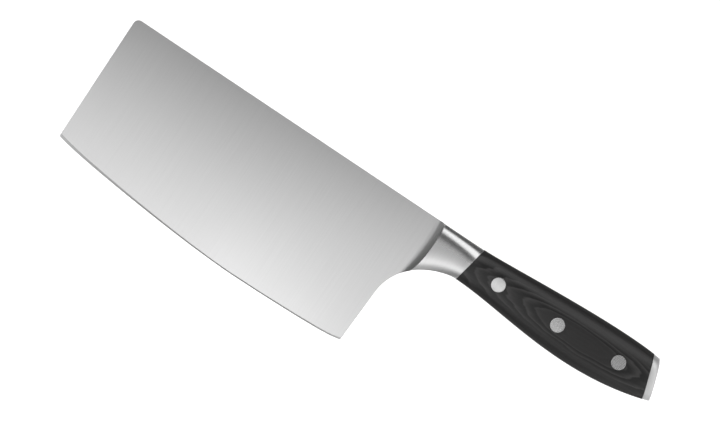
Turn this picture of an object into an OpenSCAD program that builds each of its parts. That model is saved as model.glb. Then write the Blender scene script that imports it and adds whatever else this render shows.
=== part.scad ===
// Chinese cleaver with a full tang, forged-style bolster, two riveted scales and a butt cap.
// The knife lies on its right side. +X runs from the blade to the butt, +Y to the spine, +Z up.
// Knife coordinates put x = 0 and y = 0 where the bolster's front ridge meets the spine,
// and z = 0 on the middle plane of the blade. seat() carries them to the part's own origin.

/* [Blade] */
// Length of the spine from the bolster ridge to the front edge
blade_len = 185.5; // [150:0.5:230]
// Deepest point of the cutting edge below the spine
belly_depth = 80.5; // [70:0.1:95]
// Distance of that deepest point in front of the bolster ridge
belly_at = 77; // [60:1:100]
// Rise of the cutting edge from the belly to the front edge
tip_lift = 10; // [4:0.1:16]
// Rise of the cutting edge from the belly to the heel corner
heel_lift = 3.1; // [1:0.1:6]
// Distance of the heel corner in front of the bolster ridge
heel_out = 11.6; // [10:0.1:16]
// Thickness of the spine
spine_thick = 2.5; // [2:0.1:3.4]
// Thickness that the convex ground faces leave at the belly, before sharpening
edge_thick = 0.4; // [0.2:0.05:0.8]
// Width of the strip along the spine that the grind leaves flat
spine_flat = 0.7; // [0.3:0.1:3]
// Angle of each side of the sharpened bevel
bevel_angle = 16; // [12:1:20]
// Radius of the corner between spine and front edge
nose_r = 3; // [1:0.5:8]
// Slant of the front edge over the depth of the blade
front_lean = 0.6; // [0:0.1:3]

/* [Bolster] */
// Length of the bolster along the spine
bolster_len = 23.4; // [18:0.1:30]
// Depth of the handle at the rear of the bolster
neck_depth = 20.05; // [18:0.05:22]
// Tilt of the joint between bolster and scales
bolster_slant = 11; // [0:0.1:14]
// Thickness across the front ridge
ridge_thick = 12.4; // [8:0.1:15]
// Depth at which the ridge reaches the underside
ridge_depth = 28.7; // [26:0.1:34]
// Forward bow of the ridge and of the cove in front of it
ridge_bow = 1.2; // [0:0.1:2]
// Length of the cove that runs out onto the blade
cove_run = 5; // [4:0.1:7]
// Lean of the heel's back edge towards the handle
heel_lean = 1.2; // [0.5:0.1:3]
// Depth at which the heel's back edge starts to turn under the handle
heel_turn = 50; // [44:0.5:56]
// Depth of the pull that rounds the heel into the underside
heel_pull = 26.2; // [23:0.1:30]
// Height of the bolster's upper shoulder at the ridge
ridge_top_r = 4.5; // [3:0.1:6]
// Height of the bolster's lower shoulder at the ridge
ridge_low_r = 3.2; // [2:0.1:6]

/* [Handle] */
// Thickness of the handle across its flat cheeks
handle_thick = 18; // [16:0.1:21]
// Length of the scales along the top
scale_len = 99.25; // [92:0.1:115]
// Height of the butt joint's upper end above the spine line
butt_rise = 3.95; // [1:0.05:6]
// Depth of the butt joint's lower end below the spine line
butt_drop = 18.3; // [16:0.05:21]
// Tilt of the joint between scales and end cap
butt_slant = 18.3; // [5:0.1:20]
// Height of the pull that arches the handle's back
back_pull = 6.24; // [3:0.02:9]
// Depth of the pull that swells the handle's underside
palm_pull = 31.26; // [28:0.02:36]
// Height of the upper rounded shoulder of the scales
top_r = 6.9; // [4:0.1:7.2]
// Height of the lower rounded shoulder of the scales
low_r = 5.7; // [3:0.1:6]
// Glue line between a scale's ends and the metal beside it
glue_gap = 0.05; // [0.02:0.01:0.15]

/* [End cap] */
// Thickness of the cap at its rim
cap_thick = 4; // [3.5:0.1:7]
// Height of the dome on its rear face
cap_dome = 0.5; // [0.3:0.1:2]
// Radius that breaks the rim of the rear face
cap_round = 1; // [0.5:0.1:1.6]
// Height of the tenon that the tang pushes into the cap
tenon_h = 10; // [7:0.5:13]
// Length of that tenon
tenon_len = 2.2; // [1.5:0.1:2.6]
// Clearance round the tenon
tenon_gap = 0.05; // [0.02:0.01:0.1]

/* [Rivets] */
// Diameter of the rivet heads
head_d = 7.4; // [6.4:0.1:7.6]
// Thickness of the rivet heads
head_h = 2.5; // [1.5:0.1:3.5]
// Outer diameter of the sleeve
sleeve_d = 5; // [4.4:0.1:5.6]
// Diameter of the stud that is pressed into the sleeve
stud_d = 3.2; // [2.4:0.1:3.6]
// Radial clearance of the sleeve in its holes and of the stud in the sleeve
rivet_gap = 0.02; // [0.01:0.01:0.05]
// Radial clearance of a head in its counterbore
head_gap = 0.05; // [0.02:0.01:0.1]
// Free length left at each end of the stud and the sleeve
end_gap = 1; // [0.5:0.1:2]
// Distance of the first rivet behind the bolster
rivet_first = 15.3; // [12:0.1:18]
// Spacing of the rivets
rivet_pitch = 35.6; // [30:0.1:37]
// Distance of the rivets below the middle of the handle's height
rivet_drop = 0.5; // [0:0.1:0.7]

/* [Hidden] */

steel = [0.80, 0.81, 0.82];
polished = [0.70, 0.71, 0.73];
resin_wood = [0.17, 0.17, 0.18];
rivet_steel = [0.76, 0.76, 0.78];

// Flats that stand for the convex grind
grind_seg = 10;
// Segments of the lofts: tip side of the edge, heel side, cove, bolster, scales, corners, rim
tip_seg = 30;
heel_seg = 14;
cove_seg = 8;
bolster_seg = 12;
scale_seg = 34;
corner_seg = 8;
rim_seg = 5;
dome_seg = 4;
nose_seg = 8;
turn_seg = 12;
round_fn = 96;

// Shape of the edge curve: two powers on each side of the belly and the share of the steeper one
tip_powers = [1.55, 14];
tip_share = 0.1;
heel_powers = [1.9, 12];
heel_share = 0.35;

// Places of the curve controls along each stretch, as shares of its length
back_pull_from = 0.14;
back_pull_to = 0.70;
palm_pull_from = 0.265;
palm_pull_to = 0.6;
neck_pull_to = 0.8;

// How quickly the bolster widens behind the ridge, and the share of the shoulders' radius left at the toe
swell_power = 1.5;
toe_round = 0.1;

// Extra length that cutters and hidden stock run past what they cut
over = 1;
// Depth at which the bolster's hidden stock ends inside the plate
stock_in = 0.6;
// Distance by which a cheek stays inside the plate's outline, so that its edge lies on the plate
cheek_inset = 0.01;
// Depth by which a cheek's edges start below the plate's face, and its whole front ring below that
cheek_sink = 0.05;
toe_sink = -0.004;
// Widening of the interval in which a curve's parameter is looked for
search = 0.01;

half = spine_thick / 2;
handle_half = handle_thick / 2;

function lerp(a, b, f) = a + (b - a) * f;
function bez(p, u) = let (v = 1 - u)
    v * v * v * p[0] + 3 * v * v * u * p[1] + 3 * v * u * u * p[2] + u * u * u * p[3];

// Parameter at which coordinate k of a curve reaches a value, by halving the interval
function u_where(p, k, goal, lo = 0, hi = 1, n = 40) =
    let (m = (lo + hi) / 2)
    n == 0 ? m :
    (bez(p, m)[k] < goal) == (bez(p, lo)[k] < goal) ? u_where(p, k, goal, m, hi, n - 1) :
    u_where(p, k, goal, lo, m, n - 1);

// Depth of the cutting edge below the spine line
function blend(v, powers, share) = (1 - share) * pow(v, powers[0]) + share * pow(v, powers[1]);
function edge_depth(x) =
    x < -belly_at
        ? belly_depth - tip_lift * blend((-belly_at - x) / (blade_len - belly_at), tip_powers, tip_share)
        : belly_depth - heel_lift * blend((x + belly_at) / (belly_at - heel_out), heel_powers, heel_share);

// Half the thickness that the convex grind leaves, and of the plate with the full tang behind the grind
function grind_z(y) =
    half - (spine_thick - edge_thick) / 2 * pow(max(0, -y - spine_flat) / (belly_depth - spine_flat), 2);
function plate_z(x, y) = x < plunge_x ? grind_z(y) : half;

// Underside of the bolster, from the heel's back edge to the scales
neck_x = bolster_len - neck_depth * tan(bolster_slant);
back_edge_x = -heel_out + heel_lean;
under = [[back_edge_x, -heel_turn],
         [back_edge_x, -heel_pull],
         [lerp(back_edge_x, neck_x, neck_pull_to), -neck_depth],
         [neck_x, -neck_depth]];
ridge_u = u_where(under, 1, -ridge_depth);
ridge_low = bez(under, ridge_u);
toe_u = u_where(under, 0, ridge_low[0] - cove_run);
// The grind ends here, hidden under the bolster
plunge_x = min(0, ridge_low[0]) + over / 2;

// Back and underside of the handle, from the bolster to the end cap
butt_top = [bolster_len + scale_len, butt_rise];
butt_low = [butt_top[0] + (butt_rise + butt_drop) * tan(butt_slant), -butt_drop];
back = [[bolster_len, 0],
        [bolster_len + scale_len * back_pull_from, 0],
        [bolster_len + scale_len * back_pull_to, back_pull],
        butt_top];
palm_len = butt_low[0] - neck_x;
palm = [[neck_x, -neck_depth],
        [neck_x + palm_len * palm_pull_from, -neck_depth],
        [neck_x + palm_len * palm_pull_to, -palm_pull],
        butt_low];
back_line = [for (i = [0:scale_seg]) bez(back, i / scale_seg)];
palm_line = [for (i = [0:scale_seg]) bez(palm, i / scale_seg)];

// One side of a cross-section from its upper to its lower edge. The corners are quarter ellipses.
// f is a share of the chord, z0 the height at the edges, z1 the height of the flat.
function side_points(top, low, z0, z1, r_top, r_low) =
    let (run = norm(low - top), dir = (low - top) / run)
    concat(
        [for (i = [0:corner_seg]) let (a = 90 * i / corner_seg, p = top + dir * r_top * (1 - cos(a)))
            [p[0], p[1], lerp(z0, z1, sin(a))]],
        [for (i = [corner_seg:-1:0]) let (a = 90 * i / corner_seg, p = low - dir * r_low * (1 - cos(a)))
            [p[0], p[1], lerp(z0, z1, sin(a))]]);

// Faces of a closed loft through rings of n points each
function loft_faces(rings, n) = concat(
    [[for (i = [n - 1:-1:0]) i]],
    [for (j = [0:rings - 2], i = [0:n - 1]) let (k = (i + 1) % n) [j * n + i, j * n + k, (j + 1) * n + k]],
    [for (j = [0:rings - 2], i = [0:n - 1]) let (k = (i + 1) % n)
        [j * n + i, (j + 1) * n + k, (j + 1) * n + i]],
    [[for (i = [0:n - 1]) (rings - 1) * n + i]]);

module loft(rings) {
    polyhedron(points = [for (r = rings) each r], faces = loft_faces(len(rings), len(rings[0])));
}

// Stations along the cutting edge, closer together towards both corners
edge_xs = concat(
    [for (i = [tip_seg:-1:0]) lerp(-belly_at, -blade_len - over, sin(90 * i / tip_seg))],
    [for (i = [1:heel_seg]) lerp(-belly_at, -heel_out + over, sin(90 * i / heel_seg))]);

// Parameters of the underside at the bolster's stations, first along the cove, then behind the ridge
cove_turn = [for (i = [0:cove_seg]) 90 * i / cove_seg];
cove_us = [for (a = cove_turn)
    u_where(under, 0, ridge_low[0] - cove_run * (1 - sin(a)), toe_u - search, ridge_u + search)];
body_us = [for (i = [1:bolster_seg]) lerp(ridge_u, 1, i / bolster_seg)];

tenon_mid = (butt_top + butt_low) / 2;
butt_dir = (butt_low - butt_top) / norm(butt_low - butt_top);
butt_out = [-butt_dir[1], butt_dir[0]];
function tenon_outline(gap, root) =
    let (h = tenon_h / 2 + gap, t = tenon_len + gap)
    [tenon_mid + butt_dir * h - butt_out * root,
     tenon_mid + butt_dir * h + butt_out * t,
     tenon_mid - butt_dir * h + butt_out * t,
     tenon_mid - butt_dir * h - butt_out * root];

// Outline of blade and tang seen from the side. The cutting edge is left to the sharpening blocks.
margin = belly_depth + over;
heel = [-heel_out, -belly_depth + heel_lift];
plate_outline = concat(
    [for (i = [0:nose_seg]) let (a = 90 + 90 * i / nose_seg)
        [-blade_len + nose_r * (1 + cos(a)), nose_r * (sin(a) - 1)]],
    [[-blade_len + front_lean, -margin],
     lerp(under[0], heel, (margin - heel_turn) / (-heel[1] - heel_turn))],
    [for (i = [0:turn_seg - 1]) bez(under, toe_u * i / turn_seg)],
    [for (u = cove_us) bez(under, u)],
    [for (u = body_us) bez(under, u)],
    [for (i = [1:scale_seg]) palm_line[i]],
    tenon_outline(0, 0),
    [for (i = [scale_seg:-1:0]) back_line[i]]);

// Three rivets in a row that keeps to the middle of the handle's height
function rivet_at(i) =
    let (x = bolster_len + rivet_first + i * rivet_pitch,
         hi = bez(back, u_where(back, 0, x))[1],
         lo = bez(palm, u_where(palm, 0, x))[1])
    [x, (hi + lo) / 2 - rivet_drop];

// Sections of a bolster cheek. The first ring lies just inside the plate, so the toe comes out clean.
function cheek_ring(top_end, low_end, bow, z1, r_top, r_low, rise) =
    let (dir = (low_end - top_end) / norm(low_end - top_end),
         top = top_end + dir * cheek_inset,
         low = low_end - dir * cheek_inset,
         run = norm(low - top),
         edge = [for (i = [0:corner_seg]) let (a = 90 * i / corner_seg)
             [r_top * (1 - cos(a)), sin(a), cos(a)]],
         foot = [for (i = [corner_seg:-1:0]) let (a = 90 * i / corner_seg)
             [run - r_low * (1 - cos(a)), sin(a), cos(a)]],
         outer = [for (q = concat(edge, foot))
             let (w = q[0] / run,
                  p = top + dir * q[0] + [bow * 4 * w * (1 - w), 0],
                  z0 = plate_z(p[0], p[1]))
             [p[0], p[1], z0 + (z1 - z0) * rise * q[1] - cheek_sink * q[2]]],
         in_low = low - dir * stock_in,
         in_top = top + dir * stock_in)
    concat(outer, [[in_low[0], in_low[1], half - stock_in], [in_top[0], in_top[1], half - stock_in]]);

ridge_half = ridge_thick / 2;
cheek_rings = concat(
    [for (i = [0:cove_seg]) let (rise = 1 - cos(cove_turn[i]), k = max(toe_round, rise))
        cheek_ring([-cove_run * (1 - sin(cove_turn[i])), 0], bez(under, cove_us[i]), ridge_bow,
                   ridge_half, ridge_top_r * k, ridge_low_r * k, i == 0 ? toe_sink : rise)],
    [for (i = [1:bolster_seg]) let (f = i / bolster_seg, g = 1 - pow(1 - f, swell_power))
        cheek_ring([bolster_len * f, 0], bez(under, body_us[i - 1]), ridge_bow * (1 - f),
                   lerp(ridge_half, handle_half, g), lerp(ridge_top_r, top_r, f),
                   lerp(ridge_low_r, low_r, f), 1)]);

// Sections of the end cap. The sides run on from the scales, the rear rim is rounded and domed.
back_run = (back[3] - back[2]) / norm(back[3] - back[2]);
palm_run = (palm[3] - palm[2]) / norm(palm[3] - palm[2]);
function cap_ring(depth, inset) =
    let (top = butt_top + back_run * depth / (back_run * butt_out) + butt_dir * inset,
         low = butt_low + palm_run * depth / (palm_run * butt_out) - butt_dir * inset,
         left = side_points(top, low, half, handle_half - inset, top_r - inset, low_r - inset))
    concat(left, [for (i = [len(left) - 1:-1:0]) [left[i][0], left[i][1], -left[i][2]]]);
cap_mid = (cap_ring(cap_thick, cap_round)[0] + cap_ring(cap_thick, cap_round)[2 * corner_seg + 1]) / 2;
cap_centre = [cap_mid[0], cap_mid[1], 0];
cap_out = [butt_out[0], butt_out[1], 0];
cap_rings = concat(
    [cap_ring(0, 0)],
    [for (i = [0:rim_seg]) let (a = 90 * i / rim_seg)
        cap_ring(cap_thick - cap_round * (1 - sin(a)), cap_round * (1 - cos(a)))],
    [for (i = [1:dome_seg - 1]) let (k = 1 - i / dome_seg, rise = cap_out * cap_dome * (1 - k * k))
        [for (p = cap_ring(cap_thick, cap_round)) lerp(cap_centre, p, k) + rise]]);
cap_tip = cap_centre + cap_out * cap_dome;

module cap_body() {
    n = len(cap_rings[0]);
    m = len(cap_rings);
    all_faces = loft_faces(m, n);
    polyhedron(
        points = concat([for (r = cap_rings) each r], [cap_tip]),
        faces = concat([for (i = [0:len(all_faces) - 2]) all_faces[i]],
                       [for (i = [0:n - 1]) [(m - 1) * n + i, (m - 1) * n + (i + 1) % n, m * n]]));
}

// The part's origin is at the middle of its outline, on the plane of the lower cheek
x_low = -blade_len;
x_high = max(concat([for (r = cap_rings, p = r) p[0]], [cap_tip[0]]));
y_low = -belly_depth;
y_high = max([for (p = back_line) p[1]]);
module seat() {
    translate([-(x_low + x_high) / 2, -(y_low + y_high) / 2, handle_half]) children();
}

// Left pieces face +Z, right pieces face -Z
module on_side(side) {
    mirror([0, 0, side < 0 ? 1 : 0]) children();
}

// All that the grind takes off the left face, as far back as the bolster hides it
module grinding_block() {
    face = [for (i = [0:grind_seg])
        let (y = -lerp(spine_flat, margin + over, i / grind_seg)) [y, grind_z(y)]];
    off = concat(face, [[-margin - over, half + over], [over, half + over]]);
    translate([-blade_len - 2 * over, 0, 0]) rotate([90, 0, 90])
        linear_extrude(blade_len + plunge_x + 2 * over) polygon(off);
}

// Sheet of steel with its blade end ground thin, before the outline is cut
module stock() {
    difference() {
        translate([-blade_len - over, -margin, -half])
            cube([blade_len + x_high + over, 2 * margin, spine_thick]);
        grinding_block();
        on_side(-1) grinding_block();
    }
}

// All that lies inside one side of the sharpened bevel. The block's face follows the cutting edge
// and runs up from it at the bevel angle, so it is an extrusion of the edge curve seen along the bevel.
module sharpening_block() {
    edge = [for (x = edge_xs) [x, edge_depth(x) * sin(bevel_angle)]];
    tail = x_high + over;
    block = concat(edge, [[tail, edge[len(edge) - 1][1]], [tail, -margin], [-blade_len - over, -margin]]);
    rotate([90 + bevel_angle, 0, 0]) linear_extrude(4 * margin, center = true) polygon(block);
}

module plate() {
    intersection() {
        stock();
        linear_extrude(2 * spine_thick, center = true) polygon(plate_outline);
        sharpening_block();
        on_side(-1) sharpening_block();
    }
}

module rivet_holes(d, length) {
    for (i = [0:2]) translate(rivet_at(i)) cylinder(d = d, h = length, center = true, $fn = round_fn);
}

module blade_and_tang() {
    color(steel) seat() difference() {
        plate();
        rivet_holes(sleeve_d + 2 * rivet_gap, 2 * spine_thick);
    }
}

module bolster(side) {
    color(polished) seat() on_side(side) difference() {
        loft(cheek_rings);
        stock();
    }
}

module scale(side) {
    rings = [for (i = [0:scale_seg])
        let (shift = i == 0 ? glue_gap : i == scale_seg ? -glue_gap : 0)
        side_points(back_line[i] + [shift, 0], palm_line[i] + [shift, 0], half, handle_half, top_r, low_r)];
    color(resin_wood) seat() on_side(side) difference() {
        loft(rings);
        rivet_holes(sleeve_d + 2 * rivet_gap, 3 * handle_thick);
        translate([0, 0, handle_half - head_h]) for (i = [0:2])
            translate(rivet_at(i)) cylinder(d = head_d + 2 * head_gap, h = head_h + over, $fn = round_fn);
    }
}

module stud(i) {
    color(rivet_steel) seat() translate(rivet_at(i)) {
        translate([0, 0, handle_half - head_h]) cylinder(d = head_d, h = head_h, $fn = round_fn);
        translate([0, 0, -handle_half + head_h + end_gap])
            cylinder(d = stud_d, h = handle_thick - 2 * head_h - end_gap + over, $fn = round_fn);
    }
}

module sleeve(i) {
    color(rivet_steel) seat() translate(rivet_at(i)) difference() {
        union() {
            translate([0, 0, -handle_half]) cylinder(d = head_d, h = head_h, $fn = round_fn);
            translate([0, 0, -handle_half])
                cylinder(d = sleeve_d, h = handle_thick - head_h - end_gap, $fn = round_fn);
        }
        translate([0, 0, -handle_half + head_h])
            cylinder(d = stud_d + 2 * rivet_gap, h = handle_thick, $fn = round_fn);
    }
}

module end_cap() {
    color(polished) seat() difference() {
        cap_body();
        linear_extrude(spine_thick + 2 * tenon_gap, center = true) polygon(tenon_outline(tenon_gap, over));
    }
}

blade_and_tang();
bolster(1);  // bolster_left
bolster(-1);  // bolster_right
scale(1);  // scale_left
scale(-1);  // scale_right
stud(0);  // rivet_front_stud
sleeve(0);  // rivet_front_sleeve
stud(1);  // rivet_middle_stud
sleeve(1);  // rivet_middle_sleeve
stud(2);  // rivet_rear_stud
sleeve(2);  // rivet_rear_sleeve
end_cap();
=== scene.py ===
# %% [markdown]
# # The look of a Chinese cleaver, in cells
# The real knife is one broad steel plate that runs through the handle as a full tang. Two steel
# bolster cheeks, two scales of black resin-soaked wood, three two-part rivets and a steel end cap
# are fixed to it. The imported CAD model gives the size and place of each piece. This lesson works
# out the same pieces as finer surfaces with numpy, eases their edges as a grinder would, and gives
# them finishes built from nodes.

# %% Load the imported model
import math

import bmesh
import bpy
import numpy as np
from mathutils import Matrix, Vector


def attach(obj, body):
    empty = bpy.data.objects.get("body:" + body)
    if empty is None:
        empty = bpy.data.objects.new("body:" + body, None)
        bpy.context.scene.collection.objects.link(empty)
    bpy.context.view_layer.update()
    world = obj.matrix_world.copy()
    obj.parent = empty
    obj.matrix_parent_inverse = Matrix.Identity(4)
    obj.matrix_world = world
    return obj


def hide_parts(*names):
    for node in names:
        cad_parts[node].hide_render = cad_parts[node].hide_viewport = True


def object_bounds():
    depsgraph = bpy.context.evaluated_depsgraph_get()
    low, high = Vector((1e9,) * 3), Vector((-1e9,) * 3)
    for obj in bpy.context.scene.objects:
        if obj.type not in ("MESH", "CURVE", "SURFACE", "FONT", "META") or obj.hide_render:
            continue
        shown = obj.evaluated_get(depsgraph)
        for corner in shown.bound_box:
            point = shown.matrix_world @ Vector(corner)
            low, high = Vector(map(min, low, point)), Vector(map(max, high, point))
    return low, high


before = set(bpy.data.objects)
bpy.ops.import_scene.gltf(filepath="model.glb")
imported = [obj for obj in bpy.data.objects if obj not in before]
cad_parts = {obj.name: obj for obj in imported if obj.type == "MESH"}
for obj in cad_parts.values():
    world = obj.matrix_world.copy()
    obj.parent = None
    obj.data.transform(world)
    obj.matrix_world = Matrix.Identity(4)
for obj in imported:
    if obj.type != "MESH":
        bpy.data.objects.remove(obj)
cad_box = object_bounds()
print("nodes:", ", ".join(sorted(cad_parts)))

# %% [markdown]
# ## Knife coordinates
# All shapes are worked out in millimetres, with x along the spine towards the butt, y up towards
# the spine and z out of the left face. x and y are 0 where the front ridge of the bolster meets
# the spine. Working from the object's own datum keeps each size readable. The lowest corner of the
# CAD box is a known point in these coordinates, so it tells how far to shift the finished points.

# %% Main sizes, in millimetres
BLADE_LEN, BELLY_DEPTH, BELLY_AT = 185.5, 80.5, 77.0
TIP_LIFT, HEEL_LIFT, HEEL_OUT, HEEL_LEAN = 10.0, 3.1, 11.6, 1.2
SPINE_THICK, EDGE_THICK, SPINE_FLAT = 2.5, 0.4, 0.7
NOSE_R, FRONT_LEAN = 3.0, 0.6
BEVEL_SLOPE = math.tan(math.radians(16))
BOLSTER_LEN, NECK_DEPTH, BOLSTER_SLANT = 23.4, 20.05, math.radians(11)
RIDGE_THICK, RIDGE_DEPTH, RIDGE_BOW, COVE_RUN = 12.4, 28.7, 1.2, 5.0
HEEL_TURN, HEEL_PULL = 50.0, 26.2
HANDLE_THICK, SCALE_LEN = 18.0, 99.25
BUTT_RISE, BUTT_DROP, BUTT_SLANT = 3.95, 18.3, math.radians(18.3)
BACK_PULL, PALM_PULL = 6.23, 31.26
HALF, CHEEK = SPINE_THICK / 2, HANDLE_THICK / 2

SEAT = np.array(cad_box[0]) * 1000 - [-BLADE_LEN, -BELLY_DEPTH, -CHEEK]
print("knife origin in the row frame, mm:", SEAT.round(3))

# %% [markdown]
# ## From grids of points to one closed mesh
# Every piece is put together from grids of points, each a function of two parameters. Neighbouring
# grids share their border points, so merging doubles sews them into one closed shell. The helper
# prints how many edges stay open, which should be none. Eased edges get a few narrow rows of their
# own, so smooth shading stays on the easing and the broad faces stay flat.

# %% Mesh helper
SEW_M, SHARP = 2e-7, math.radians(40)
MIRROR = np.array([1, 1, -1])


def quads(rows, columns):
    """Corner numbers of a grid's faces: each point with its right, lower right and lower one."""
    number = np.arange(rows * columns).reshape(rows, columns)
    corners = [number[:-1, :-1], number[:-1, 1:], number[1:, 1:], number[1:, :-1]]
    return np.stack(corners, -1).reshape(-1, 4)


def sew(name, grids):
    """Object from grids in knife millimetres: moved to the row frame, merged, turned outwards."""
    starts = np.cumsum([0] + [g.shape[0] * g.shape[1] for g in grids])
    points = (np.concatenate([g.reshape(-1, 3) for g in grids]) + SEAT) / 1000
    faces = np.concatenate([quads(*g.shape[:2]) + s for g, s in zip(grids, starts)])
    mesh = bpy.data.meshes.new(name)
    mesh.from_pydata(points.tolist(), [], faces.tolist())
    shell = bmesh.new()
    shell.from_mesh(mesh)
    bmesh.ops.remove_doubles(shell, verts=shell.verts, dist=SEW_M)
    bmesh.ops.recalc_face_normals(shell, faces=shell.faces)
    still_open = sum(not e.is_manifold for e in shell.edges)
    shell.to_mesh(mesh)
    shell.free()
    mesh.shade_smooth()
    mesh.set_sharp_from_angle(angle=SHARP)
    piece = bpy.data.objects.new(name, mesh)
    bpy.context.scene.collection.objects.link(piece)
    print(f"{name}: {len(mesh.polygons)} faces, {still_open} open edges")
    return piece


def both_sides(grid):
    """A grid on the left half of the knife, and its mirror image on the right half."""
    return [grid, grid * MIRROR]


print("points closer than", round(SEW_M * 1e6, 1), "micrometres are merged")

# %% [markdown]
# ## Curves of the outline
# A photograph square on to the blade shows the outline well. Three smooth cubic curves draw the
# underside of the bolster, the handle's back and its palm side. The cutting edge is a straight
# line bent up by powers of the distance from the belly: a low power lifts it evenly and a high
# power turns up only its ends, which a single arc could not do.

# %% Curve functions
TIP_POWERS, TIP_SHARE = (1.55, 14), 0.1
HEEL_POWERS, HEEL_SHARE = (1.9, 12), 0.35


def cubic(controls, u):
    """Points of a cubic curve: four control points weighted by the cubic Bernstein terms of u."""
    c, u = np.asarray(controls, float), np.atleast_1d(u)[:, None]
    v = 1 - u
    return v**3 * c[0] + 3 * v * v * u * c[1] + 3 * v * u * u * c[2] + u**3 * c[3]


def parameter_at(controls, axis, value):
    """Curve parameter at which one coordinate reaches a value, read off a dense table."""
    u = np.linspace(0, 1, 4001)
    return np.interp(value, cubic(controls, u)[:, axis], u)


def edge_depth(x):
    """Depth of the cutting edge: the belly's depth less two powers of the run to tip or heel."""
    tip = np.clip(-BELLY_AT - x, 0, None) / (BLADE_LEN - BELLY_AT)
    heel = np.clip(np.minimum(x, -HEEL_OUT) + BELLY_AT, 0, None) / (BELLY_AT - HEEL_OUT)
    tip_rise = (1 - TIP_SHARE) * tip**TIP_POWERS[0] + TIP_SHARE * tip**TIP_POWERS[1]
    heel_rise = (1 - HEEL_SHARE) * heel**HEEL_POWERS[0] + HEEL_SHARE * heel**HEEL_POWERS[1]
    return BELLY_DEPTH - TIP_LIFT * tip_rise - HEEL_LIFT * heel_rise


print("depth of the edge at tip, belly and heel:",
      edge_depth(np.array([-BLADE_LEN, -BELLY_AT, -HEEL_OUT])).round(2))

# %% Control points
NECK_PULL_TO = 0.8
BACK_PULL_FROM, BACK_PULL_TO, PALM_PULL_FROM, PALM_PULL_TO = 0.14, 0.70, 0.265, 0.6
neck_x = BOLSTER_LEN - NECK_DEPTH * math.tan(BOLSTER_SLANT)
heel_x = -HEEL_OUT + HEEL_LEAN
UNDER = [(heel_x, -HEEL_TURN), (heel_x, -HEEL_PULL),
         (heel_x + NECK_PULL_TO * (neck_x - heel_x), -NECK_DEPTH), (neck_x, -NECK_DEPTH)]
BUTT_TOP = np.array([BOLSTER_LEN + SCALE_LEN, BUTT_RISE])
BUTT_LOW = np.array([BUTT_TOP[0] + (BUTT_RISE + BUTT_DROP) * math.tan(BUTT_SLANT), -BUTT_DROP])
palm_len = BUTT_LOW[0] - neck_x
BACK = [(BOLSTER_LEN, 0), (BOLSTER_LEN + BACK_PULL_FROM * SCALE_LEN, 0),
        (BOLSTER_LEN + BACK_PULL_TO * SCALE_LEN, BACK_PULL), tuple(BUTT_TOP)]
PALM = [(neck_x, -NECK_DEPTH), (neck_x + PALM_PULL_FROM * palm_len, -NECK_DEPTH),
        (neck_x + PALM_PULL_TO * palm_len, -PALM_PULL), tuple(BUTT_LOW)]
ridge_u = parameter_at(UNDER, 1, -RIDGE_DEPTH)
ridge_low = cubic(UNDER, ridge_u)[0]
print("ridge meets the underside at", ridge_low.round(2))

# %% [markdown]
# ## Camera
# The photograph looks square on to the blade from above, with the knife turned about 34 degrees in
# the frame. A long lens from 1.6 m shows 360 mm across the picture, as the photograph does, and
# has so little perspective that the thick handle hardly moves against the thin blade.

# %% Camera
LENS_MM, SENSOR_MM, PICTURE_MM = 160.0, 36.0, 360.0
ROLL = math.radians(33.745)
AIM = (np.array([-36.55, -22.09, HALF]) + SEAT) / 1000

camera_data = bpy.data.cameras.new("photo_camera")
camera_data.lens, camera_data.sensor_width = LENS_MM, SENSOR_MM
camera = bpy.data.objects.new("photo_camera", camera_data)
camera.location = AIM + [0, 0, PICTURE_MM / SENSOR_MM * LENS_MM / 1000]
camera.rotation_euler = (0, 0, ROLL)
bpy.context.scene.collection.objects.link(camera)
bpy.context.scene.camera = camera
print("camera at", tuple(round(v, 4) for v in camera.location))

# %% [markdown]
# ## Light
# Steel is drawn by what it reflects, so the lights come before the finishes. A broad panel over
# the cutting edge lights the edge side more than the spine. A bright one low on the spine's side,
# with a dark gap between the two, draws the bright and the dark streak along the bolster. Small
# panels tune single pieces. Panels that overlap hang at different heights, because a ray that
# meets two in one plane counts only one. Dim panels low round the knife serve the side views.

# %% Panel helpers
LIGHT_AT = Vector(AIM)


def panel(name, centre, size, brightness, target=None):
    """Rectangular soft light, placed in metres from the picture's middle, facing down or a target.

    Its power is brightness times area times pi, so 1 looks white in a mirror."""
    data = bpy.data.lights.new(name, "AREA")
    data.shape, data.size, data.size_y = "RECTANGLE", *size
    data.energy = brightness * size[0] * size[1] * math.pi
    lamp = bpy.data.objects.new(name, data)
    lamp.location = LIGHT_AT + Vector(centre)
    if target is not None:
        lamp.rotation_euler = (Vector(target) - Vector(centre)).to_track_quat("-Z", "Y").to_euler()
    lamp.visible_camera = False
    bpy.context.scene.collection.objects.link(lamp)
    print(name, "power", round(data.energy, 2), "W")


def around(azimuth, elevation, distance=0.6):
    """Place on a dome round the knife, from its compass angle and its height in degrees."""
    a, e = math.radians(azimuth), math.radians(elevation)
    return (distance * math.cos(e) * math.cos(a), distance * math.cos(e) * math.sin(a),
            distance * math.sin(e))


print("lamps are placed from", LIGHT_AT.to_tuple(4))

# %% Panels above the knife
panel("overhead_panel", (-0.095, -0.1175, 0.36), (0.47, 0.245), 0.74)
panel("edge_panel", (-0.115, -0.11, 0.35), (0.25, 0.11), 0.5)
panel("glow_panel", (0.02, -0.125, 0.345), (0.19, 0.08), 0.66)
panel("palm_panel", (0.26, -0.315, 0.36), (0.40, 0.15), 0.9)
panel("spine_panel", (-0.22, 0.025, 0.36), (0.44, 0.04), 0.26)
panel("bolster_panel", (0.035, -0.005, 0.34), (0.15, 0.05), 0.3)
panel("rivet_panel", (0.09, 0.02, 0.33), (0.06, 0.07), 1.1)
panel("butt_panel", (0.375, 0.06, 0.36), (0.31, 0.34), 1.0)
panel("cap_panel", (0.365, -0.175, 0.36), (0.29, 0.13), 0.8)

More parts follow.
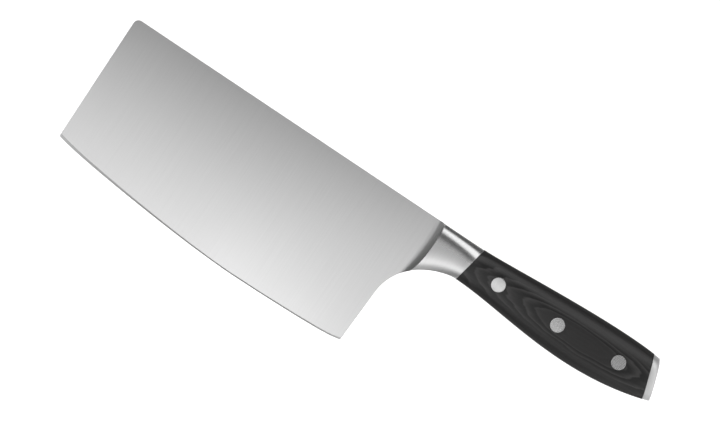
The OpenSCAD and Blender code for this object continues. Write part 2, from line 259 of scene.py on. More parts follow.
# %% Panels round the knife
HANDLE_SIDE = (0.03, 0, 0)
panel("streak_panel", around(80, 50), (0.50, 0.32), 1.3, HANDLE_SIDE)
panel("front_panel", around(200, 20), (0.50, 0.35), 0.2, HANDLE_SIDE)
panel("low_panel", around(270, 12), (0.60, 0.25), 0.3, HANDLE_SIDE)
panel("tip_panel", around(225, 30), (0.42, 0.40), 0.7, HANDLE_SIDE)
panel("end_panel", around(0, 22), (0.42, 0.30), 0.7, HANDLE_SIDE)
panel("back_panel", around(40, 18), (0.36, 0.25), 0.5, HANDLE_SIDE)
panel("nose_panel", around(130, 36), (0.36, 0.36), 0.5, HANDLE_SIDE)
panel("heel_panel", around(315, 22), (0.42, 0.30), 0.6, HANDLE_SIDE)

# %% World and view transform
WORLD_GREY = 0.08
world = bpy.data.worlds.new("studio")
world.use_nodes = True
world.node_tree.nodes["Background"].inputs["Color"].default_value = (
    WORLD_GREY, WORLD_GREY, WORLD_GREY, 1)
bpy.context.scene.world = world
bpy.context.scene.view_settings.view_transform = "Standard"
print("world grey", WORLD_GREY, "and", len(bpy.data.lights), "panels")

# %% [markdown]
# ## The plate: blade and tang
# One plate of steel runs from the nose to the butt. Its blade part is ground so that it thins
# slowly below the spine and faster towards the edge, and a narrow sharpened bevel ends it. The
# mesh follows the outline: rings step inwards from it for the easing and the bevel, and a grid
# fills the middle. Each point then takes its height from one formula of its place.

# %% Height of the plate's face
PLUNGE_X = min(0.0, ridge_low[0]) + 0.5
EASE, APEX, FIRST_WIDTH = 0.15, 0.02, 0.7


def plate_z(p):
    """Half thickness: level at the spine, then less by the square of the run down to the edge."""
    run = np.clip(-p[..., 1] - SPINE_FLAT, 0, None) / (BELLY_DEPTH - SPINE_FLAT)
    ground = HALF - (SPINE_THICK - EDGE_THICK) / 2 * run**2
    return np.where(p[..., 0] < PLUNGE_X, ground, HALF)


def bevel_z(p):
    """Half thickness of the sharpened bevel: distance to the edge times the bevel's slope."""
    steep = (edge_depth(p[..., 0] + 0.05) - edge_depth(p[..., 0] - 0.05)) / 0.1
    return APEX + BEVEL_SLOPE * (p[..., 1] + edge_depth(p[..., 0])) / np.sqrt(1 + steep**2)


def bevel_width(x):
    """Width at which the bevel reaches the ground face, closed in on by four rounds."""
    width = np.full_like(x, FIRST_WIDTH)
    for _ in range(4):
        width = (plate_z(np.stack([x, width - edge_depth(x)], -1)) - APEX) / BEVEL_SLOPE
    return width


def eased(distance, radius):
    """How far an eased edge lies below its sharp corner: one radius less the circle's height."""
    d = np.minimum(distance, radius)
    return radius - np.sqrt(np.clip(radius**2 - (radius - d)**2, 0, None))


print("half thickness at the belly, before sharpening:",
      plate_z(np.array([-BELLY_AT, -BELLY_DEPTH])).round(3))

# %% Stretches of the plate's outline
def span(start, end, steps):
    """Evenly spaced points after start, up to and with end."""
    start, end = np.asarray(start, float), np.asarray(end, float)
    return start + (end - start) * (np.arange(1, steps + 1) / steps)[:, None]


def nose(degrees):
    """Points of the nose's arc: its centre plus the radius at each angle."""
    a = np.radians(degrees)
    return np.stack([NOSE_R - BLADE_LEN + NOSE_R * np.cos(a), NOSE_R * (np.sin(a) - 1)], -1)


def on_edge(x):
    """Points of the cutting edge above given x."""
    return np.stack([x, -edge_depth(x)], -1)


def front_x(y):
    """x of the front edge, which leans evenly from the nose to the belly's depth."""
    return -BLADE_LEN + FRONT_LEAN * (-NOSE_R - y) / (BELLY_DEPTH + 1 - NOSE_R)


tip_x = -BLADE_LEN
for _ in range(4):
    tip_x = float(front_x(-edge_depth(tip_x)))
print("front edge meets the cutting edge at x =", round(tip_x, 2))

# %% Points of the plate's outline
# Steps along each stretch, and the x at which stretches of the top line end
ARC, BLADE, HEEL, TURN, NECK, TANG, FRONT = 4, 120, 12, 10, 30, 72, 20
nose_x, heel_near, turn_near, fan = NOSE_R - BLADE_LEN, -HEEL_OUT - 1.0, -9.6, -8.0
heel_past = heel_near + 0.4
fan_u = parameter_at(UNDER, 0, fan)
neck = cubic(UNDER, fan_u + (1 - fan_u) * np.arange(1, NECK + 1) / NECK)
bottom = np.concatenate([
    on_edge(np.linspace(tip_x, nose_x, ARC + 1)),
    on_edge(span((nose_x,), (heel_near,), BLADE)[:, 0]),
    on_edge(np.array([-HEEL_OUT])),
    span(on_edge(-HEEL_OUT), (heel_x, -HEEL_TURN), HEEL),
    cubic(UNDER, fan_u * np.arange(1, TURN + 1) / TURN), neck,
    cubic(PALM, np.arange(1, TANG + 1) / TANG)])
neck_top = fan + (neck[:, 0] - fan) * (BOLSTER_LEN - fan) / (neck_x - fan)
top = np.concatenate([
    nose(np.linspace(135, 90, ARC + 1)),
    span((nose_x, 0), (heel_near, 0), BLADE), [(heel_past, 0)],
    span((heel_past, 0), (turn_near, 0), HEEL), span((turn_near, 0), (fan, 0), TURN),
    np.stack([neck_top, 0 * neck_top], -1),
    cubic(BACK, np.arange(1, TANG + 1) / TANG)])
down_front = span((0, -NOSE_R), (0, -edge_depth(tip_x)), FRONT)[:, 1]
front = np.concatenate([nose(np.linspace(135, 180, ARC + 1)),
                        np.stack([front_x(down_front), down_front], -1)])
columns, rows, corner = len(top), len(front), ARC + BLADE + 1
butt = BUTT_TOP + (BUTT_LOW - BUTT_TOP) * np.linspace(0, 1, rows)[:, None]
print(columns, "columns,", rows, "rows; bevel",
      bevel_width(np.array([tip_x, -BELLY_AT, -HEEL_OUT])).round(2), "mm wide")


# %% Rings that step in from the outline
def step_in(loop, before, after):
    """Points inside a loop that runs clockwise, at set distances from the edges before and after.

    With a and b the inward normals of the two edges, their sum carries the mean distance and
    their difference half the difference, each divided by its own share of the corner."""
    edge = np.roll(loop, -1, 0) - loop
    edge = edge / np.linalg.norm(edge, axis=1, keepdims=True)
    b = np.stack([edge[:, 1], -edge[:, 0]], -1)
    a = np.roll(b, 1, 0)
    cos = (a * b).sum(1)
    mean, half = (before + after) / 2, (after - before) / 2
    return (loop + (a + b) * (mean / (1 + cos))[:, None]
            + (b - a) * (half / np.maximum(1 - cos, 1e-3))[:, None])


# The innermost ring lies the bevel's width from the cutting edge, and elsewhere at these distances
NARROW, AT_NOSE, AT_SPINE = 0.3, 0.5, SPINE_FLAT
loop = np.concatenate([top[:-1], butt[:-1], bottom[:0:-1], front[:0:-1]])
strip = np.interp(top[:, 0], [-185, nose_x, -6, 0], [AT_NOSE, AT_SPINE, AT_SPINE, NARROW])
under = np.concatenate([bevel_width(bottom[:corner + 1, 0]), np.full(columns - corner - 1, NARROW)])
lead = np.interp(-front[:, 1], [0.9, NOSE_R], [AT_NOSE, NARROW])
after = np.concatenate([strip[:-1], np.full(rows - 1, NARROW), under[:0:-1], lead[:0:-1]])
before = after.copy()
tip_at = 2 * columns + rows - 3
before[tip_at - corner], before[tip_at] = NARROW, under[0]
arc = EASE * (1 - np.cos(np.radians([0, 22, 44, 66, 90])))
fixed = np.append(arc, EASE + 0.05)
rings = np.stack([step_in(loop, d + 0 * before, d + 0 * after) for d in fixed]
                 + [step_in(loop, before + d, after + d) for d in (-0.05, 0, 0.05)])
drop = np.append(eased(fixed, EASE), [0, 0, 0])
rim = np.dstack([rings, np.minimum(plate_z(rings) - drop[:, None], bevel_z(rings))])
rim = np.concatenate([rim, rim[:, :1]], 1)
wall = rim[0] * np.array([[[1, 1, s]] for s in (1, 0.95, -0.95, -1)])
print(len(rings), "rings of", len(loop), "points")

# %% Grid that fills the plate
inner = rings[-1]
top_in, butt_in = inner[:columns], inner[columns - 1:columns + rows - 1]
bottom_in = inner[columns + rows - 2:2 * columns + rows - 2][::-1]
front_in = np.concatenate([inner[tip_at:], inner[:1]])[::-1]
run = np.append(0, np.linalg.norm(np.diff(front_in, axis=0), axis=1).cumsum())
share = np.linspace(0, 1, columns)[:, None]
down = (1 - share) * run / run[-1] + share * np.linspace(0, 1, rows)
middle = top_in[:, None] + (bottom_in - top_in)[:, None] * down[..., None]
# The first ten columns bend towards the front edge's own spacing
pull = np.clip(1 - np.arange(columns) / 10, 0, None)[:, None, None]
middle = middle + pull * (front_in - middle[0])
middle[-1] = butt_in
face = np.dstack([middle, plate_z(middle)])
plate = sew("blade", both_sides(face) + both_sides(rim) + [wall])

# %% [markdown]
# ## Cheeks and scales from one kind of section
# Bolster cheeks and scales share a section. A narrow flat runs along the spine side and another
# along the underside, and between them the face swells: steep at both edges, ever flatter towards
# a crest. A polished face shows its slope more than its height, so the slope is given by a formula
# and the height is its running sum. A copy pressed flat on the plate closes the back, and the two
# end sections close the ends.

# %% Section function
SHOULDER, CORNER = math.radians(46), 0.25
ACROSS = (1 - np.cos(np.linspace(0, math.pi, 73))) / 2


def sections(high, low, z1, crest, turn_high, turn_low, bow=0, rise=1, low_shoulder=SHOULDER):
    """Grid of section points, one row for each station, and the same points on the plate.

    With w the share of the way down, the slope is the shoulder's angle times the remaining share
    of the way to the crest, to a power, and below the crest the low shoulder's. Its tangent is
    summed for the height, which is then set to z1 at the crest. The bow shifts x by a parabola,
    and rise is the share of the crest's height above the plate that no point may pass."""
    z1, crest, turn_high, turn_low, bow, rise, low_shoulder = (
        np.asarray(v, float).reshape(-1, 1) + 0 * high[:, :1]
        for v in (z1, crest, turn_high, turn_low, bow, rise, low_shoulder))
    w = ACROSS[None]
    length = np.linalg.norm(low - high, axis=1, keepdims=True)
    slope = (SHOULDER * np.clip(1 - w / crest, 0, 1)**turn_high
             - low_shoulder * np.clip((w - crest) / (1 - crest), 0, 1)**turn_low)
    climb = (np.tan(slope[:, 1:]) + np.tan(slope[:, :-1])) / 2 * np.diff(w * length, axis=1)
    z = np.hstack([0 * length, climb.cumsum(1)])
    z = z - z.max(1, keepdims=True) + z1
    z = z - eased(w * length, CORNER) - eased((1 - w) * length, CORNER)
    p = high[:, None] + (low - high)[:, None] * w[..., None]
    p[..., 0] += bow * 4 * w * (1 - w)
    z0 = plate_z(p)
    outer, inner = np.dstack([p, z0 + np.minimum(z - z0, (z1 - z0) * rise)]), np.dstack([p, z0])
    return (np.concatenate([inner[:, :1], outer, inner[:, -1:]], 1),
            np.concatenate([inner[:, :1], inner, inner[:, -1:]], 1))


def closed(outer, inner):
    """The four grids that close a body: face, back, and a strip at each end section."""
    return [outer, inner, np.stack([outer[0], inner[0]]), np.stack([outer[-1], inner[-1]])]


print(len(ACROSS), "points across each section")

# %% [markdown]
# ## Bolster cheeks
# The bolster grows out of the blade in a hollow, the cove, turns at a crisp ridge and then thickens
# towards the handle. The cove is a quarter turn: the run to the ridge falls as the sine and the
# height grows as one less the cosine. A small radius breaks the ridge and the rear corner. The
# shoulder on the palm side starts flatter at the ridge, which spreads the light over its flank.

# %% Make the cheeks
RIDGE_EASE, REAR_EASE, SWELL_POWER = 0.3, 0.12, 1.5
RIDGE_Z = RIDGE_THICK / 2
CREST, TURN_HIGH, TURN_LOW = (0.38, 0.52), (2.5, 1.6), (2.1, 2.2)
LOW_SHOULDER = math.radians(25.5)
turn = np.radians(np.linspace(0, 90, 25))
cove_x = -COVE_RUN * (1 - np.sin(turn))
cove_low = cubic(UNDER, parameter_at(UNDER, 0, ridge_low[0] + cove_x))
cove_rise = (1 - np.cos(turn)) * (RIDGE_Z - HALF - RIDGE_EASE) / (RIDGE_Z - HALF)

near = RIDGE_EASE * (1 - np.cos(np.radians([15, 30, 45, 60, 75, 90])))
far = BOLSTER_LEN - REAR_EASE * (1 - np.cos(np.radians([90, 60, 30, 0])))
body_x = np.concatenate([near, [RIDGE_EASE + 0.15], np.linspace(1.2, BOLSTER_LEN - 0.8, 26),
                         [far[0] - 0.1], far])
f = body_x / BOLSTER_LEN
body_low = cubic(UNDER, ridge_u + (1 - ridge_u) * f)
body_z = RIDGE_Z + (CHEEK - RIDGE_Z) * (1 - (1 - f)**SWELL_POWER)
body_z -= eased(body_x, RIDGE_EASE) + eased(BOLSTER_LEN - body_x, REAR_EASE)

x, g = np.concatenate([cove_x, body_x]), np.concatenate([0 * turn, f])
outer, inner = sections(
    np.stack([x, 0 * x], -1), np.concatenate([cove_low, body_low]),
    np.concatenate([RIDGE_Z + 0 * turn, body_z]),
    *(ends[0] + (ends[1] - ends[0]) * g for ends in (CREST, TURN_HIGH, TURN_LOW)),
    RIDGE_BOW * (1 - g), np.concatenate([cove_rise, 1 + 0 * f]),
    LOW_SHOULDER + (SHOULDER - LOW_SHOULDER) * g**2)
bolster_left = sew("bolster_cheek_left", closed(outer, inner))
bolster_right = sew("bolster_cheek_right", closed(outer * MIRROR, inner * MIRROR))

# %% [markdown]
# ## Rivets and their seats
# Each rivet has two turned parts: a head with a solid stud, and a head with a tube that the stud
# is pressed into. Turned parts are profiles swept round an axis. The scales are drilled with the
# same kind of profile, a little wider, cut away with a Boolean as a drill would cut it.

# %% Turned parts
HEAD_D, HEAD_H, SLEEVE_D, STUD_D = 7.4, 2.5, 5.0, 3.2
RIVET_GAP, HEAD_GAP, END_GAP, BREAK = 0.02, 0.05, 1.0, 0.1
RIVET_FIRST, RIVET_PITCH, RIVET_DROP = 15.3, 35.6, 0.5
PLACES = ("front", "middle", "rear")
BACK_LINE, PALM_LINE = (cubic(c, np.linspace(0, 1, 400)) for c in (BACK, PALM))


def rivet_at(i):
    """Centre of a rivet: midway between back and palm side at its x, a little lower."""
    x = BOLSTER_LEN + RIVET_FIRST + i * RIVET_PITCH
    ends = [cubic(c, parameter_at(c, 0, x))[0, 1] for c in (BACK, PALM)]
    return np.array([x, sum(ends) / 2 - RIVET_DROP, 0])


def turned(profile, centre, segments=96):
    """A profile of radius and height carried once round the axis."""
    r, z = np.asarray(profile, float).T
    a = np.radians(np.linspace(0, 360, segments + 1))[:, None]
    return np.dstack([r * np.cos(a), r * np.sin(a), z + 0 * a]) + centre


def flush(points):
    """Ends of a turned part ground flush: lowered as the scale's face falls from its crest."""
    x, y, z = np.moveaxis(points, -1, 0)
    high, low = (np.interp(x, c[:, 0], c[:, 1]) for c in (BACK_LINE, PALM_LINE))
    off = np.abs((high - y) / (high - low) - 0.5) * 2
    fall = SHOULDER * off**3 / 3 * (high - low) / 2
    return np.dstack([x, y, np.where(np.abs(z) > CHEEK - 0.5, z - np.sign(z) * fall, z)])


def head():
    """Profile of a rivet head, middle to underside, its corner broken by a small arc."""
    a = np.radians([0, 22, 45, 68, 90])
    r, z = HEAD_D / 2, CHEEK
    arc = np.stack([r - BREAK + BREAK * np.sin(a), z - BREAK + BREAK * np.cos(a)], -1)
    return [(0, z), (r - 0.6, z), (r - 0.2, z), *arc, (r, z - 0.3), (r, z - HEAD_H)]


print("rivets at", [rivet_at(i)[:2].round(2).tolist() for i in range(len(PLACES))])

# %% Studs and sleeves
under_head = CHEEK - HEAD_H
meet, bore = under_head - END_GAP, STUD_D / 2 + RIVET_GAP
stud = [*head(), (STUD_D / 2, under_head), (STUD_D / 2, -meet), (0, -meet)]
tube = [*((r, -z) for r, z in head()), (SLEEVE_D / 2, -under_head), (SLEEVE_D / 2, meet),
        (bore, meet), (bore, -under_head), (0, -under_head)]
rivets = [(sew(f"rivet_{place}_{part}_turned", [flush(turned(profile, rivet_at(i)))]),
           f"rivet_{place}_{part}")
          for i, place in enumerate(PLACES)
          for part, profile in (("stud", stud), ("sleeve", tube))]

# %% [markdown]
# ## Scales
# The scales swell into a palm shape along the back and palm curves, with rounded shoulders and a
# broad flat face. They are glued, riveted and then ground flush with the tang, so only a hairline
# shows at each joint. The ends get a tiny easing for it.

# %% Sections of a scale
# The joint's section settles within the first part of the length to an even one: crest in the
# middle and the same turn on both sides
GLUE_GAP, END_EASE, SETTLE, EVEN = 0.05, 0.1, 0.15, (0.5, 2, 2)
near = END_EASE * (1 - np.cos(np.radians([0, 30, 60, 90]))) / SCALE_LEN
u = np.concatenate([near, [near[-1] * 2], np.linspace(0.01, 0.99, 90), [1 - near[-1] * 2],
                    1 - near[::-1]])
shift = (GLUE_GAP * (1 - 2 * u))[:, None] * [1, 0]
low_eased = eased(u * SCALE_LEN, END_EASE) + eased((1 - u) * SCALE_LEN, END_EASE)
settle = np.clip(u / SETTLE, 0, 1)
shape = [ends[1] + (even - ends[1]) * settle
         for ends, even in zip((CREST, TURN_HIGH, TURN_LOW), EVEN)]
scale_outer, scale_inner = sections(
    cubic(BACK, u) + shift, cubic(PALM, u) + shift, CHEEK - low_eased, *shape)
print("scale sections:", len(u))

# %% Drill the scales
SEAT_BREAK, OUTSIDE, PAST_JOINT = 0.06, 12, -1
hole, seat_r = SLEEVE_D / 2 + RIVET_GAP, HEAD_D / 2 + HEAD_GAP
drill = [(0, OUTSIDE), (seat_r + SEAT_BREAK + 3, OUTSIDE), (seat_r + SEAT_BREAK, CHEEK),
         (seat_r, CHEEK - SEAT_BREAK), (seat_r, under_head), (hole, under_head),
         (hole, PAST_JOINT), (0, PAST_JOINT)]


def drilled(name, side):
    """A scale with its three seats cut by a Boolean, which is then applied to the mesh."""
    flip = [1, 1, side]
    piece = sew(name, closed(scale_outer * flip, scale_inner * flip))
    cutter = sew("drill", [flush(turned(drill, rivet_at(i))) * flip for i in range(3)])
    cut = piece.modifiers.new("seats", "BOOLEAN")
    cut.object, cut.operation, cut.solver = cutter, "DIFFERENCE", "EXACT"
    graph = bpy.context.evaluated_depsgraph_get()
    done = bpy.data.meshes.new_from_object(piece.evaluated_get(graph))
    piece.modifiers.clear()
    piece.data = done
    bpy.data.objects.remove(cutter)
    done.shade_smooth()
    done.set_sharp_from_angle(angle=SHARP)
    print(name, "after drilling:", len(done.polygons), "faces")
    return piece


scale_left = drilled("scale_left_ground", 1)
scale_right = drilled("scale_right_ground", -1)

# %% [markdown]
# ## End cap
# A cap of steel closes the butt. Its wall carries on the handle's back and palm lines, its faces
# fall slightly towards the rim, the rim is rounded and the end swells a little. Rings go round
# the whole section: down the left side and up the right.

# %% Make the cap
CAP_THICK, CAP_DOME, CAP_ROUND, CAP_FALL, JOINT_EASE = 4.0, 0.49, 1.0, 0.3, 0.12
butt_way = (BUTT_LOW - BUTT_TOP) / np.linalg.norm(BUTT_LOW - BUTT_TOP)
butt_out = np.array([-butt_way[1], butt_way[0]])
back_run, palm_run = np.subtract(BACK[3], BACK[2]), np.subtract(PALM[3], PALM[2])


def cap_rings(depth, inset):
    """Rings of the cap: the handle's lines carried on by depth, then drawn in by inset."""
    depth, inset = depth[:, None], inset[:, None]
    high = BUTT_TOP + back_run * depth / (back_run @ butt_out) + butt_way * inset
    low = BUTT_LOW + palm_run * depth / (palm_run @ butt_out) - butt_way * inset
    left, _ = sections(high, low, CHEEK - inset - CAP_FALL * (depth / CAP_THICK)**2, *EVEN)
    return np.concatenate([left, left[:, ::-1] * MIRROR, left[:, :1]], 1)


turn = np.radians(np.linspace(0, 90, 11))
start = JOINT_EASE * (1 - np.cos(np.radians([0, 30, 60, 90])))
depth = np.concatenate([start, [0.3], np.linspace(0.8, 2.6, 5),
                        CAP_THICK - CAP_ROUND * (1 - np.sin(turn))])
inset = np.concatenate([eased(start, JOINT_EASE), np.zeros(6), CAP_ROUND * (1 - np.cos(turn))])
sides = cap_rings(depth, inset)
share = (1 - np.linspace(0, 1, 15)**1.5)[:, None, None]
centre_end, centre_joint = ((s.min(0) + s.max(0)) / 2 for s in (sides[-1], sides[0]))
dome = centre_end + (sides[-1] - centre_end) * share
dome = dome + np.append(butt_out, 0) * CAP_DOME * (1 - share**2)
joint = centre_joint + (sides[0] - centre_joint) * np.linspace(1, 0, 5)[:, None, None]
cap = sew("end_cap_polished", [sides, dome, joint])

# %% [markdown]
# ## Finishes
# Each finish is a small node tree on the Principled shader. Patterns read Object coordinates, which
# are metres in the row frame, so a Mapping scale of one over the grain size gives real grain.


# %% Material helpers
def linear(hex_colour):
    """sRGB hex colour as linear RGBA: the sRGB curve undone for each channel."""
    c = np.array([int(hex_colour[i:i + 2], 16) for i in (1, 3, 5)]) / 255
    return (*np.where(c <= 0.04045, c / 12.92, ((c + 0.055) / 1.055) ** 2.4), 1.0)


def material(name):
    """Empty material and its tree, with the Principled shader already in it."""
    made = bpy.data.materials.new(name)
    made.use_nodes = True
    return made, made.node_tree, made.node_tree.nodes["Principled BSDF"]


def add(tree, kind, inputs=None, **settings):
    """Adds a node, sets its settings, and fills each input with a value or a link."""
    node = tree.nodes.new(kind)
    for key, value in settings.items():
        setattr(node, key, value)
    for socket, value in (inputs or {}).items():
        if isinstance(value, bpy.types.NodeSocket):
            tree.links.new(value, node.inputs[socket])
        else:
            node.inputs[socket].default_value = value
    return node


# %% [markdown]
# ## Steel
# Stainless knife steel, belt-ground and then satin finished: a grey metal that blurs what it
# reflects, with hair-fine lines across the blade. The lines are about 0.1 mm apart on the real
# blade and drawn 0.35 mm apart, so that they still show. The other steel pieces use the same tree.
# Buffing gives the bolster crisper streaks, a soft polish leaves the cap duller and more even, and
# the turned rivet heads lie between the bolster and the blade.

# %% Ground and polished steel
CLOUD_MM, LINE_DEPTH_MM = 40, 0.02


def steel(name, dark, pale, rough_low, rough_high, lines_mm, bump):
    """Ground steel: fine lines vary colour, roughness and height, and soft clouds the roughness."""
    made, tree, shader = material(name)
    shader.inputs["Metallic"].default_value = 1.0
    at = add(tree, "ShaderNodeTexCoord").outputs["Object"]
    stretched = add(tree, "ShaderNodeMapping",
                    {"Vector": at, "Scale": [1000 / v for v in lines_mm]})
    lines = add(tree, "ShaderNodeTexNoise",
                {"Vector": stretched.outputs[0], "Scale": 1.0, "Detail": 3.0})
    clouds = add(tree, "ShaderNodeTexNoise",
                 {"Vector": at, "Scale": 1000 / CLOUD_MM, "Detail": 2.0})
    both = add(tree, "ShaderNodeMath", {0: lines.outputs[0], 1: clouds.outputs[0]}, operation="ADD")
    rough = add(tree, "ShaderNodeMapRange",
                {"Value": both.outputs[0], "From Min": 0.6, "From Max": 1.4,
                 "To Min": rough_low, "To Max": rough_high})
    ramp = add(tree, "ShaderNodeValToRGB", {"Fac": lines.outputs[0]})
    ends = ramp.color_ramp.elements
    ends[0].position, ends[0].color = 0.3, linear(dark)
    ends[1].position, ends[1].color = 0.7, linear(pale)
    raised = add(tree, "ShaderNodeBump", {"Height": lines.outputs[0], "Strength": bump,
                                          "Distance": LINE_DEPTH_MM / 1000})
    tree.links.new(ramp.outputs["Color"], shader.inputs["Base Color"])
    tree.links.new(rough.outputs[0], shader.inputs["Roughness"])
    tree.links.new(raised.outputs[0], shader.inputs["Normal"])
    print(name, "lines", lines_mm[0], "mm apart")
    return made


satin_steel = steel("satin_ground_stainless_steel", "#D6D6D6", "#DADADA", 0.30, 0.33,
                    (0.35, 30, 30), 0.02)
bolster_finish = steel("buffed_bolster_steel", "#D6D6D6", "#DBDBDB", 0.20, 0.25,
                       (0.3, 12, 12), 0.02)
cap_finish = steel("soft_polished_cap_steel", "#D7D7D7", "#DCDCDC", 0.36, 0.40,
                   (0.3, 12, 12), 0.02)
rivet_finish = steel("turned_rivet_steel", "#D4D4D4", "#D8D8D8", 0.26, 0.28, (0.3, 6, 6), 0.005)

# %% [markdown]
# ## The bolster's two finishes
# The buffing wheel runs along the spine side. It can't reach the toe of the cove, where the
# blade's satin finish runs up, and it leaves the flank below the shoulder satin too. Two ramps
# along x and y, multiplied, tell where it reached, and the roughness follows them.

# %% Where the bolster is buffed
# Millimetres along x and y over which the buffing sets in, and the roughness where it doesn't reach
TOE, FLANK, SATIN_ROUGH = (-1.5, 0.5), (-13, -7), 0.33
tree = bolster_finish.node_tree
shader = tree.nodes["Principled BSDF"]
buffed = shader.inputs["Roughness"].links[0].from_socket
at = add(tree, "ShaderNodeTexCoord").outputs["Object"]
place = add(tree, "ShaderNodeSeparateXYZ", {0: at}).outputs
past_toe, shoulder = (
    add(tree, "ShaderNodeMapRange", {"Value": place[axis], "From Min": (SEAT[k] + start) / 1000,
                                     "From Max": (SEAT[k] + end) / 1000})
    for k, axis, (start, end) in ((0, "X", TOE), (1, "Y", FLANK)))
reached = add(tree, "ShaderNodeMath", {0: past_toe.outputs[0], 1: shoulder.outputs[0]},
              operation="MULTIPLY")
fade = add(tree, "ShaderNodeMix", {0: reached.outputs[0], 2: SATIN_ROUGH, 3: buffed})
tree.links.new(fade.outputs[0], shader.inputs["Roughness"])
print("bolster is satin, roughness", SATIN_ROUGH, "where the wheel doesn't reach")

# %% [markdown]
# ## Resin-soaked wood
# Densified veneer soaked with phenolic resin and dyed black, then ground and waxed. Grinding
# through the layers draws long oval contours in the face: a plain eye over the two rear rivets,
# then rings about 1.7 mm apart across the handle and 9 mm apart along it. Each ring has one
# sharp and one soft side, and fine pores lie between them. The distance from the eye's centre,
# in units of its size and bent by a soft noise, is counted in rings.

# %% Ring figure of the wood
EYE, EYE_SIZE, RING, BEND = (88, -10.5, CHEEK), (30, 5.8, 20), 0.3, 0.5
resin_wood, tree, shader = material("black_resin_impregnated_wood")
at = add(tree, "ShaderNodeTexCoord").outputs["Object"]
oval = add(tree, "ShaderNodeMapping",
           {"Vector": at, "Location": [-(e + c) / v for e, c, v in zip(EYE, SEAT, EYE_SIZE)],
            "Scale": [1000 / v for v in EYE_SIZE]})
wobble = add(tree, "ShaderNodeTexNoise", {"Vector": oval.outputs[0], "Scale": 1.3, "Detail": 3.0})
warp = add(tree, "ShaderNodeVectorMath", {0: wobble.outputs["Color"], 1: (0.5, 0.5, 0.5)},
           operation="SUBTRACT")
warp = add(tree, "ShaderNodeVectorMath", {0: warp.outputs[0], 1: [BEND] * 3, 2: oval.outputs[0]},
           operation="MULTIPLY_ADD")
reach = add(tree, "ShaderNodeVectorMath", {0: warp.outputs[0]}, operation="LENGTH").outputs["Value"]
layer = add(tree, "ShaderNodeMath", {0: reach, 1: RING}, operation="DIVIDE")
layer = add(tree, "ShaderNodeMath", {0: layer.outputs[0]}, operation="FRACT")
contours = add(tree, "ShaderNodeValToRGB", {"Fac": layer.outputs[0]})
stops = contours.color_ramp.elements
stops[0].color, stops[1].color = (0.4, 0.4, 0.4, 1), (0.5, 0.5, 0.5, 1)
for position, grey in ((0.05, 0.0), (0.3, 0.1), (0.6, 0.5), (0.9, 1.0)):
    stops.new(position).color = (grey, grey, grey, 1)
print("figure centred at", EYE, "mm from the knife's origin")

# %% Where the figure shows
# The figure leaves the eye plain and fades out on the handle's rounded shoulders
PLAIN = 0.45
outside = add(tree, "ShaderNodeMapRange", {"Value": reach, "From Min": 0.75, "From Max": 0.95,
                                           "To Min": 0.1, "To Max": 1.0})
across = add(tree, "ShaderNodeSeparateXYZ", {0: warp.outputs[0]}).outputs["Y"]
across = add(tree, "ShaderNodeMath", {0: across}, operation="ABSOLUTE")
inside = add(tree, "ShaderNodeMapRange",
             {"Value": across.outputs[0], "From Min": 1.0, "From Max": 1.4,
              "To Min": 1.0, "To Max": 0.15})
shown = add(tree, "ShaderNodeMath", {0: outside.outputs[0], 1: inside.outputs[0]},
            operation="MULTIPLY")
figure = add(tree, "ShaderNodeMix", {0: shown.outputs[0], 2: PLAIN, 3: contours.outputs[0]})
print("grey where no figure shows:", PLAIN)

# %% Pores, colour and gloss of the wood
# Pores 1.7 mm long and 0.3 mm wide, and their depth
PORE, PORE_DEPTH_MM = (5 / 3, 2 / 7, 2 / 7), 0.03
fine = add(tree, "ShaderNodeMapping", {"Vector": at, "Scale": [1000 / v for v in PORE]})
pores = add(tree, "ShaderNodeTexNoise", {"Vector": fine.outputs[0], "Scale": 1.0, "Detail": 2.0})
grain = add(tree, "ShaderNodeMix", {0: 0.2, 2: figure.outputs[0], 3: pores.outputs[0]})
ramp = add(tree, "ShaderNodeValToRGB", {"Fac": grain.outputs[0]})
ends = ramp.color_ramp.elements
ends[0].position, ends[0].color = 0.1, linear("#0F0F0F")
ends[1].position, ends[1].color = 0.9, linear("#3C3B3B")
ends.new(0.5).color = linear("#292828")
rough = add(tree, "ShaderNodeMapRange", {"Value": grain.outputs[0], "To Min": 0.30, "To Max": 0.36})
raised = add(tree, "ShaderNodeBump",
             {"Height": grain.outputs[0], "Strength": 0.15, "Distance": PORE_DEPTH_MM / 1000})
tree.links.new(ramp.outputs["Color"], shader.inputs["Base Color"])
tree.links.new(rough.outputs[0], shader.inputs["Roughness"])
tree.links.new(raised.outputs[0], shader.inputs["Normal"])
print(resin_wood.name, "has", len(tree.nodes), "nodes")

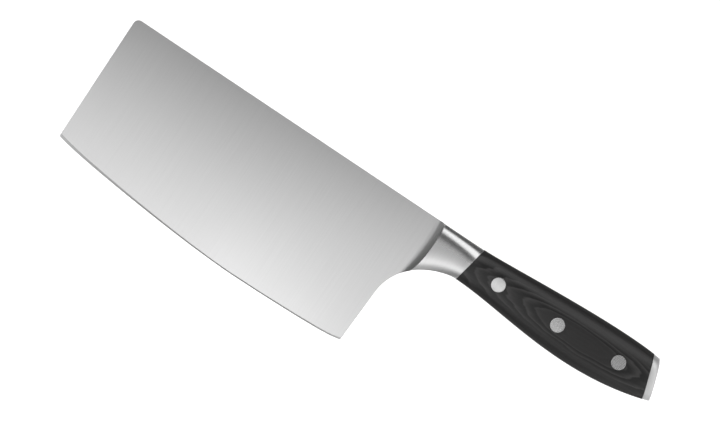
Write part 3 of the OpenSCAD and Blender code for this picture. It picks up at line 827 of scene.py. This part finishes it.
# %% [markdown]
# ## Pieces, bodies and nodes
# The knife has no moving joint, so every piece rides on its one body. Each row lists the piece, the
# CAD node it stands for, the material slot of the record its finish belongs to, and the finish; the
# piece takes the finish and the CAD node is hidden.

# %% Give each piece its finish and hide its CAD node
pieces = [(plate, "blade_and_tang", "blade_steel", satin_steel),
          (bolster_left, "bolster_left", "bolster_steel", bolster_finish),
          (bolster_right, "bolster_right", "bolster_steel", bolster_finish),
          (scale_left, "scale_left", "resin_wood", resin_wood),
          (scale_right, "scale_right", "resin_wood", resin_wood),
          (cap, "end_cap", "cap_steel", cap_finish)]
pieces += [(piece, node, "rivet_steel", rivet_finish) for piece, node in rivets]
for piece, node, slot, finish in pieces:
    piece.data.materials.clear()
    piece.data.materials.append(finish)
    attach(piece, "root")
    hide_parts(node)
print(len(pieces), "pieces finished")

# %% [markdown]
# ## Floor
# The photograph has a pure white ground. The floor is a plain pale sheet that looks white to the
# camera and in reflections, and still carries the knife's shadow, because only part of its light
# is its own.

# %% Make the floor
FLOOR_HALF, FLOOR_GLOW = 3, 0.85
floor_z = cad_box[0][2]
floor_mesh = bpy.data.meshes.new("floor")
sides_m = (-FLOOR_HALF, FLOOR_HALF)
floor_mesh.from_pydata([(x, y, floor_z) for y in sides_m for x in sides_m], [], [(0, 1, 3, 2)])
floor = bpy.data.objects.new("floor", floor_mesh)
bpy.context.scene.collection.objects.link(floor)
paper, tree, shader = material("white_paper_floor")
shader.inputs["Base Color"].default_value = linear("#E8E8E8")
shader.inputs["Roughness"].default_value = 0.9
seen = add(tree, "ShaderNodeLightPath").outputs
shown = add(tree, "ShaderNodeMath", {0: seen["Is Camera Ray"], 1: seen["Is Glossy Ray"]},
            operation="MAXIMUM")
shown = add(tree, "ShaderNodeMath", {0: shown.outputs[0], 1: seen["Is Transmission Ray"]},
            operation="MAXIMUM")
glow = add(tree, "ShaderNodeMath", {0: shown.outputs[0], 1: FLOOR_GLOW}, operation="MULTIPLY")
shader.inputs["Emission Color"].default_value = (1, 1, 1, 1)
tree.links.new(glow.outputs[0], shader.inputs["Emission Strength"])
floor_mesh.materials.append(paper)
print("floor at", round(floor_z, 5))
